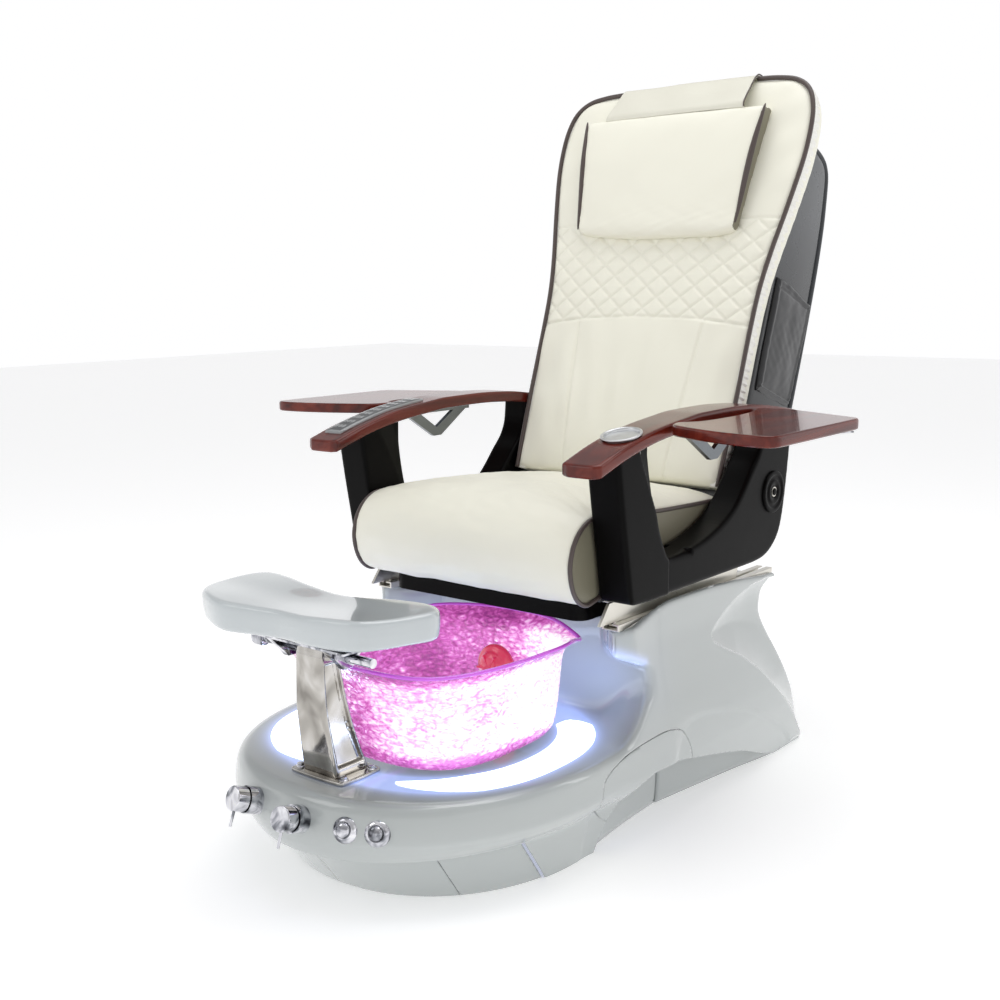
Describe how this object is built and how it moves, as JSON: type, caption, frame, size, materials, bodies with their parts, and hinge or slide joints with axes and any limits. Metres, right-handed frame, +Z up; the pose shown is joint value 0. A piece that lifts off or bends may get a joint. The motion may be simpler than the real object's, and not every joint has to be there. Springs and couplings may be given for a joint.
{
  "type": "pedicure spa chair",
  "caption": "Pedicure spa chair: reclining padded seat with wooden arms and folding side trays above a pedestal with a glass foot bowl, tilting footrest and tap controls",
  "frame": {"origin": "on the floor, on the underside of the base frame's middle cross rail, on the chair's centre plane", "axes": "+X to the sitter's left, +Y towards the back, +Z up; the chair faces -Y"},
  "size_m": [1.1718, 1.423, 1.4206],
  "materials": {
    "gelcoat": "gloss",
    "led_lens": "gloss",
    "bowl_glass": "gloss",
    "chrome": "polished",
    "black_plastic": "satin",
    "frame_steel": "satin",
    "rail_steel": "satin",
    "dark_wood": "gloss",
    "cream_leather": "satin",
    "black_leather": "satin",
    "silver_metal": "satin",
    "silver_plastic": "gloss",
    "roller_rubber": "matte"
  },
  "bodies": {
    "base": {"base_shell": "gelcoat", "access_panels": "gelcoat", "rear_access_cover": "gelcoat", "front_kick_panel": "gelcoat", "side_kick_panels": "gelcoat", "led_ring_lens": "led_lens", "glass_bowl": "bowl_glass", "drain_fitting": "chrome", "drain_pump": "black_plastic", "jet_cover": "chrome", "jet_motor": "black_plastic", "valve_bodies": "chrome", "button_bezels": "chrome", "base_frame": "frame_steel", "power_box": "black_plastic", "cable_gland": "black_plastic", "lower_rails": "rail_steel", "footrest_post": "chrome", "post_bolts": "chrome", "footrest_shaft": "chrome"},
    "footrest": {"footrest_bracket": "chrome", "footrest_pad": "gelcoat"},
    "footrest_knob": {"footrest_knob": "chrome"},
    "valve_left": {"valve_knob_left": "chrome"},
    "valve_right": {"valve_knob_right": "chrome"},
    "button_1": {"button_cap_1": "chrome"},
    "button_2": {"button_cap_2": "chrome"},
    "jet_impeller": {"jet_impeller": "black_plastic"},
    "seat": {"seat_rails": "rail_steel", "seat_frame": "frame_steel", "seat_front_panel": "black_plastic", "recline_motor": "black_plastic", "seat_cushion": "cream_leather", "arm_frame_left": "black_plastic", "arm_frame_right": "black_plastic", "arm_top_left": "dark_wood", "arm_top_right": "dark_wood", "arm_pivot_caps": "black_plastic", "cup_holder": "silver_metal", "remote_panel": "silver_plastic", "tray_bracket_left": "silver_metal", "tray_bracket_right": "silver_metal"},
    "tray_left": {"tray_left": "dark_wood", "tray_leaf_left": "silver_metal"},
    "tray_right": {"tray_right": "dark_wood", "tray_leaf_right": "silver_metal"},
    "latch_left": {"tray_latch_left": "chrome"},
    "latch_right": {"tray_latch_right": "chrome"},
    "recline_rod": {"recline_rod": "rail_steel"},
    "back": {"back_cushion": "cream_leather", "head_pillow": "cream_leather", "pillow_flap": "cream_leather", "back_shell": "black_plastic", "side_pockets": "black_leather", "back_frame": "frame_steel", "back_pivot_pins": "rail_steel", "massage_rails": "rail_steel"},
    "massage_carriage": {"massage_carriage": "frame_steel"},
    "kneading_rollers": {"kneading_rollers": "roller_rubber"}
  },
  "joints": [
    {"name": "seat_slide", "type": "slide", "parent": "base", "child": "seat", "axis": [0, 1, 0], "range_m": [0, 0.12]},
    {"name": "back_recline", "type": "hinge", "parent": "seat", "child": "back", "pos_m": [0, 0.31, 0.577], "axis": [-1, 0, 0], "range_deg": [0, 28]},
    {"name": "recline_rod_slide", "type": "slide", "parent": "seat", "child": "recline_rod", "axis": [0, 1, 0], "range_m": [-0.056, 0]},
    {"name": "massage_travel", "type": "slide", "parent": "back", "child": "massage_carriage", "axis": [0, 0.3387, 0.9409], "range_m": [-0.12, 0.33]},
    {"name": "rollers_spin", "type": "hinge", "parent": "massage_carriage", "child": "kneading_rollers", "pos_m": [0, 0.41938, 0.85706], "axis": [1, 0, 0], "continuous": true},
    {"name": "tray_fold_left", "type": "hinge", "parent": "seat", "child": "tray_left", "pos_m": [0.35, 0, 0.729], "axis": [0, 1, 0], "range_deg": [0, 90]},
    {"name": "tray_fold_right", "type": "hinge", "parent": "seat", "child": "tray_right", "pos_m": [-0.35, 0, 0.729], "axis": [0, -1, 0], "range_deg": [0, 90]},
    {"name": "latch_turn_left", "type": "hinge", "parent": "tray_left", "child": "latch_left", "pos_m": [0.545, 0.095, 0.73], "axis": [0, 0, 1], "range_deg": [0, 50]},
    {"name": "latch_turn_right", "type": "hinge", "parent": "tray_right", "child": "latch_right", "pos_m": [-0.545, 0.095, 0.73], "axis": [0, 0, -1], "range_deg": [0, 50]},
    {"name": "footrest_tilt", "type": "hinge", "parent": "base", "child": "footrest", "pos_m": [0, -0.63, 0.41], "axis": [1, 0, 0], "range_deg": [-20, 25]},
    {"name": "footrest_knob_turn", "type": "hinge", "parent": "base", "child": "footrest_knob", "pos_m": [0, -0.63, 0.41], "axis": [1, 0, 0], "range_deg": [0, 180]},
    {"name": "valve_turn_left", "type": "hinge", "parent": "base", "child": "valve_left", "pos_m": [0.031, -0.70523, 0.15], "axis": [0.0533, -0.9382, 0.342], "range_deg": [-45, 45]},
    {"name": "valve_turn_right", "type": "hinge", "parent": "base", "child": "valve_right", "pos_m": [-0.082, -0.69888, 0.15], "axis": [-0.1837, -0.9216, 0.342], "range_deg": [-45, 45]},
    {"name": "button_press_1", "type": "slide", "parent": "base", "child": "button_1", "axis": [-0.2882, 0.8944, -0.342], "range_m": [0, 0.004], "stiffness_N_per_m": 600, "springref_m": -0.002},
    {"name": "button_press_2", "type": "slide", "parent": "base", "child": "button_2", "axis": [-0.4457, 0.8272, -0.342], "range_m": [0, 0.004], "stiffness_N_per_m": 600, "springref_m": -0.002},
    {"name": "jet_spin", "type": "hinge", "parent": "base", "child": "jet_impeller", "pos_m": [0, -0.19, 0.27], "axis": [0, 1, 0], "continuous": true}
  ],
  "couplings": [
    {"joint": "recline_rod_slide", "follows": "back_recline", "m_per_rad": -0.1105}
  ]
}
